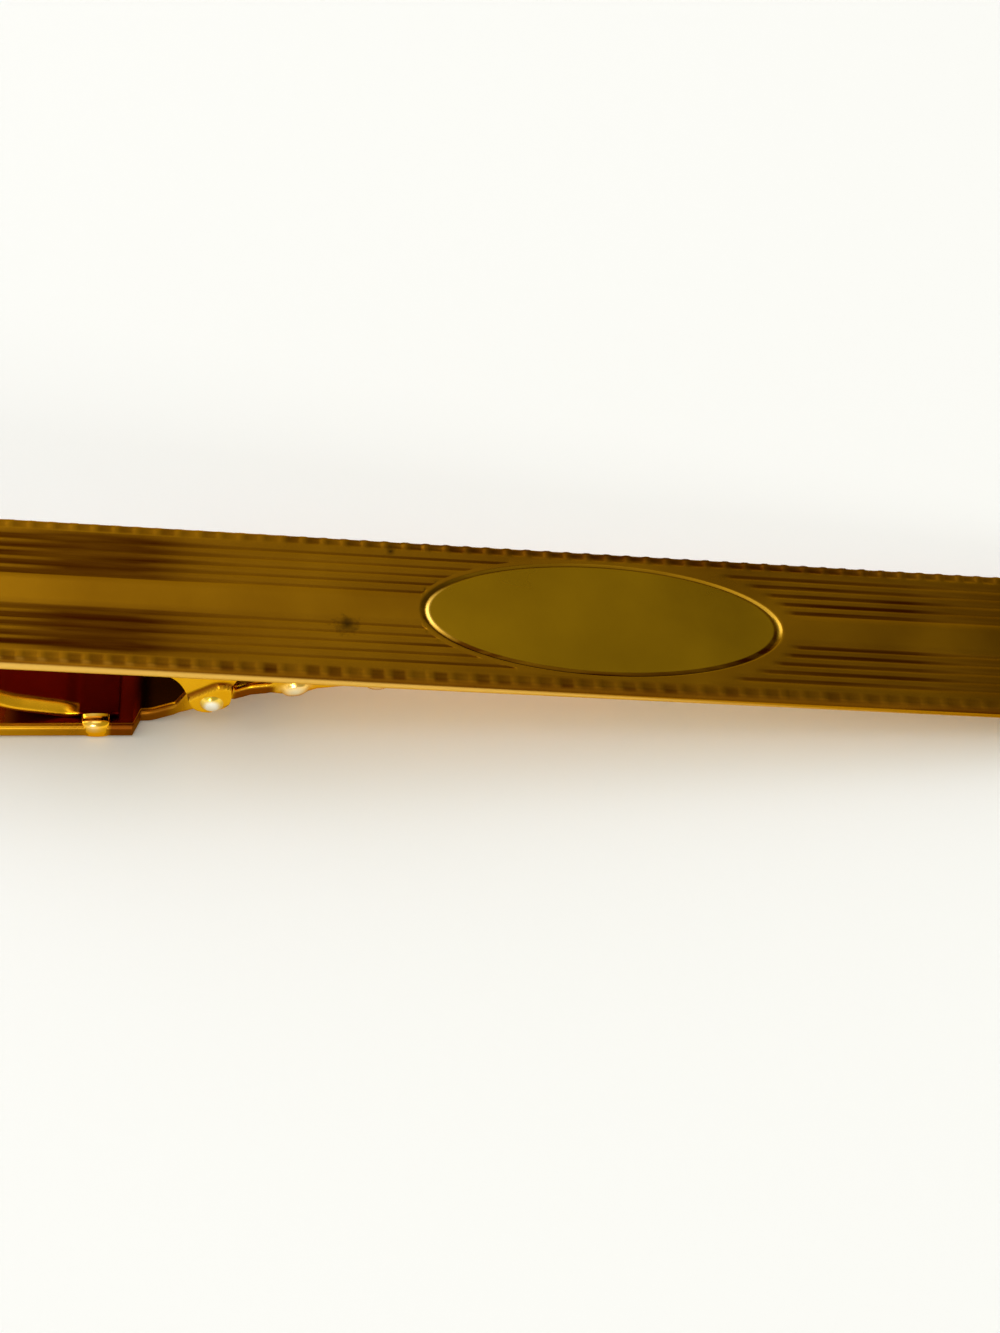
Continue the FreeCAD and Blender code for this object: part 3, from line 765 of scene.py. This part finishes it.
# Leaf spring
# A strip of gilt spring metal with edges bent down, whose foot is held on the thumb plate by the two tabs. It
# rises gently and then steeply to the back of the bar, where its toe slides when the lever is pressed.
leaf_sheet = 0.2
leaf_half = 2.2
leaf_corner = 0.5
leaf_toe = -27.3
lug_half = 2.56
foot_front = np.array(over_plate(1.05, 0.02))
foot_bend = np.array(over_plate(2.516, 0.02))
lift_bend = np.array(over_plate(5.382, 0.66))
toe_bend = np.array([-24.909, -0.22])
leaf_bend = 3.5
leaf_line = bent_line([(leaf_toe, toe_bend[1]), toe_bend, lift_bend, foot_bend, foot_front], leaf_bend)
leaf_x = np.concatenate([
    np.linspace(leaf_toe, foot_front[0], 110),
    leaf_toe + leaf_corner * (1 - np.cos(np.linspace(0, math.pi / 2, 8))),
])
leaf_x = np.unique(np.round(leaf_x, 4))
leaf_z = np.interp(leaf_x, leaf_line[:, 0], leaf_line[:, 1])
lug_rear = over_plate(tab_back + tab_width, 0)[0]
lug_front = over_plate(tab_back, 0)[0]
on_lug = eased((leaf_x - lug_rear) / 0.12) * eased((lug_front - leaf_x) / 0.12)
leaf_edge = leaf_half - rounded_end(leaf_x - leaf_toe, leaf_corner) + (lug_half - leaf_half) * on_lug
leaf_thick = leaf_sheet * np.sqrt(1 + np.gradient(leaf_z, leaf_x) ** 2)

# from the tabs to the steep rise, the strip stands up a little between two edges that are bent down
bent = eased((lug_rear - 0.05 - leaf_x) / 0.7) * eased((leaf_x + 24.2) / 1.5)
crown_rise = 0.08
edge_drop = 0.26
bent_width = 0.38
edge_turn = np.linspace(-math.pi / 2, math.pi / 2, 9)[:, None]
edge_round = 0.08
inset = np.array([0.6, 0.5, 0.42, 0.36, 0.3, 0.22, 0.14, 0.06])[:, None]
leaf_flat = np.concatenate([leaf_edge * 0 + np.array([[0.0], [0.8]]), leaf_edge - edge_round - inset])
leaf_rim = leaf_edge - edge_round + edge_round * np.cos(edge_turn)
leaf_y = np.concatenate([leaf_flat, leaf_rim, leaf_flat[::-1]])
under = leaf_flat[:, 0] * 0
level = np.concatenate([under, (1 + np.sin(edge_turn[:, 0])) / 2, under + 1])[:, None]
from_edge = leaf_edge - leaf_y
bent_share = np.clip(1 - from_edge / bent_width, 0, 1)
leaf_h = leaf_z + leaf_thick * level + bent * (crown_rise - edge_drop * bent_share**1.2)
# painted shade: the top inside the bent edges and the whole underside, darkest at the foot
leaf_shelter = eased((from_edge - bent_width) / 0.08) * (level > 0.5) + (level < 0.5)
foot_dark = 1.45 * (1 - eased((lug_rear - 0.05 - leaf_x) / 0.2))
leaf_shelter = np.maximum(leaf_shelter, foot_dark + leaf_y * 0)
leaf_spring = make_channel("bent_leaf_spring", leaf_x, leaf_y, leaf_h, 45, shelter=leaf_shelter)

# gilt spring metal, with painted shade: dark red on the top between its bent edges and underneath, and nearly
# black at its foot under the tabs
spring_gilt, tree, shader, place = new_metal("gilt_spring")
clouds = noise(tree, place, 500, 4)
shelter = node(tree, "ShaderNodeAttribute", [("attribute_name", "shelter")]).outputs["Fac"]
cloudy = spread(tree, clouds, 0.35, 0.68, 0, 1)
colour = colour_mix(tree, cloudy, (0.78, 0.36, 0.006, 1), (0.88, 0.45, 0.015, 1))
colour = colour_mix(tree, spread(tree, shelter, 0, 1, 0, 1), colour, (0.13, 0.004, 0.002, 1))
colour = colour_mix(tree, spread(tree, shelter, 1, 2, 0, 1), colour, (0.003, 0.0002, 0.0002, 1))
tree.links.new(colour, shader.inputs["Base Color"])
rough = spread(tree, clouds, 0.3, 0.7, 0.2, 0.3)
rough = arithmetic(tree, "ADD", rough, spread(tree, shelter, 0, 1, 0, 0.12))
tree.links.new(rough, shader.inputs["Roughness"])
shader.inputs["Specular Tint"].default_value = (0.9, 0.6, 0.2, 1)
leaf_spring.data.materials.append(spring_gilt)
tuple(laid(foot_bend[0], 0.0, foot_bend[1]))
tuple(laid(toe_bend[0], 0.0, toe_bend[1]))
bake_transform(leaf_spring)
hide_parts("leaf_spring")


# Table
# A plain round table top, painted white, under the clip. It is wide enough to reach the horizon in low
# views.
table_radius = 0.9
table_drop = 0.00001
table_turn = np.linspace(0, 2 * math.pi, 128, endpoint=False)
table_rim = np.stack(
    [np.cos(table_turn) * table_radius, np.sin(table_turn) * table_radius, table_turn * 0 - table_drop],
    axis=-1,
)
table_mesh = bpy.data.meshes.new("table_top")
table_mesh.from_pydata(table_rim.tolist(), [], [list(range(len(table_turn)))])
table_top = bpy.data.objects.new("table_top", table_mesh)
bpy.context.scene.collection.objects.link(table_top)
table_white = bpy.data.materials.new("matt_white_table")
table_white.use_nodes = True
paint = table_white.node_tree.nodes["Principled BSDF"].inputs
paint["Base Color"].default_value = (0.97, 0.97, 0.965, 1)
paint["Roughness"].default_value = 0.8
paint["Specular IOR Level"].default_value = 0.1
table_mesh.materials.append(table_white)


# Light
# A cream room, white and bright low down, less bright in front, dim overhead behind and dimmer to the
# right, with a large soft window behind on the left, a weak box overhead in front, and a small lamp low in
# front that puts sparks on the clip.
world = bpy.data.worlds.new("pale_room")
bpy.context.scene.world = world
world.use_nodes = True
tree = world.node_tree
direction = tree.nodes.new("ShaderNodeTexCoord").outputs["Generated"]
heading = node(tree, "ShaderNodeSeparateXYZ", Vector=direction).outputs
overhead = spread(tree, heading["X"], -0.15, 0.42, 0.72, 0.06)
front = spread(tree, heading["Y"], 0.15, -0.35, 0.0, 0.46)
low = spread(tree, heading["Z"], 0.45, 0.2, 0.0, 1.0)
strength = arithmetic(tree, "MAXIMUM", arithmetic(tree, "MAXIMUM", overhead, front), low)
tree.links.new(strength, tree.nodes["Background"].inputs["Strength"])
higher = spread(tree, heading["Z"], 0.2, 0.35, 0, 1)
tint = colour_mix(tree, higher, (1, 1, 1, 1), (0.93, 0.935, 0.62, 1))
tree.links.new(tint, tree.nodes["Background"].inputs["Color"])


def soft_lamp(name, azimuth, elevation, distance, size, level, tint):
    """A square lamp of a light tint round the clip, facing it. Azimuth 0 is behind it and grows to the right.
    Its power is the stated level times pi squared times the distance squared, which for a small lamp gives a
    white surface that faces it that brightness."""
    lamp = bpy.data.lights.new(name, "AREA")
    lamp.size = size
    lamp.color = tint
    lamp.energy = level * math.pi**2 * distance**2
    lamp_object = bpy.data.objects.new(name, lamp)
    turn, rise = math.radians(azimuth), math.radians(elevation)
    way = Vector((math.sin(turn) * math.cos(rise), math.cos(turn) * math.cos(rise), math.sin(rise)))
    lamp_object.location = way * distance
    lamp_object.rotation_euler = way.to_track_quat("Z", "Y").to_euler()
    bpy.context.scene.collection.objects.link(lamp_object)


soft_lamp("window", azimuth=-63, elevation=31, distance=2.0, size=2.5, level=1.33, tint=(0.82, 0.81, 1))
soft_lamp("front_box", azimuth=185, elevation=72, distance=2.0, size=1.0, level=0.1, tint=(0.825, 0.815, 1))
soft_lamp("low_lamp", azimuth=195, elevation=24, distance=1.75, size=0.35, level=0.15, tint=(1, 1, 1))


# Camera
# The photograph's viewpoint. Its height and distance are assumed, and its turn, roll and lens then follow
# from the bar's edges, lines and oval.
view_azimuth = math.radians(-6.754)
view_rise = math.radians(52)
view_roll = math.radians(5.291)
view_distance = 90 * mm
view_target = Vector((-3.76, -2.03, 3.0)) * mm
toward = Vector((
    math.sin(view_azimuth) * math.cos(view_rise),
    -math.cos(view_azimuth) * math.cos(view_rise),
    math.sin(view_rise),
))
level_right = Vector((0, 0, 1)).cross(toward).normalized()
level_up = toward.cross(level_right)
right = level_right * math.cos(view_roll) + level_up * math.sin(view_roll)
upward = level_up * math.cos(view_roll) - level_right * math.sin(view_roll)
camera = bpy.data.objects.new("camera", bpy.data.cameras.new("camera"))
camera.data.lens = 69.01
camera.data.sensor_width = 36
camera.data.clip_start = 0.001
camera.data.clip_end = 20
turned = Matrix((right, upward, toward)).transposed().to_4x4()
camera.matrix_world = Matrix.Translation(view_target + toward * view_distance) @ turned
bpy.context.scene.collection.objects.link(camera)
bpy.context.scene.camera = camera
bpy.context.scene.view_settings.view_transform = "Standard"
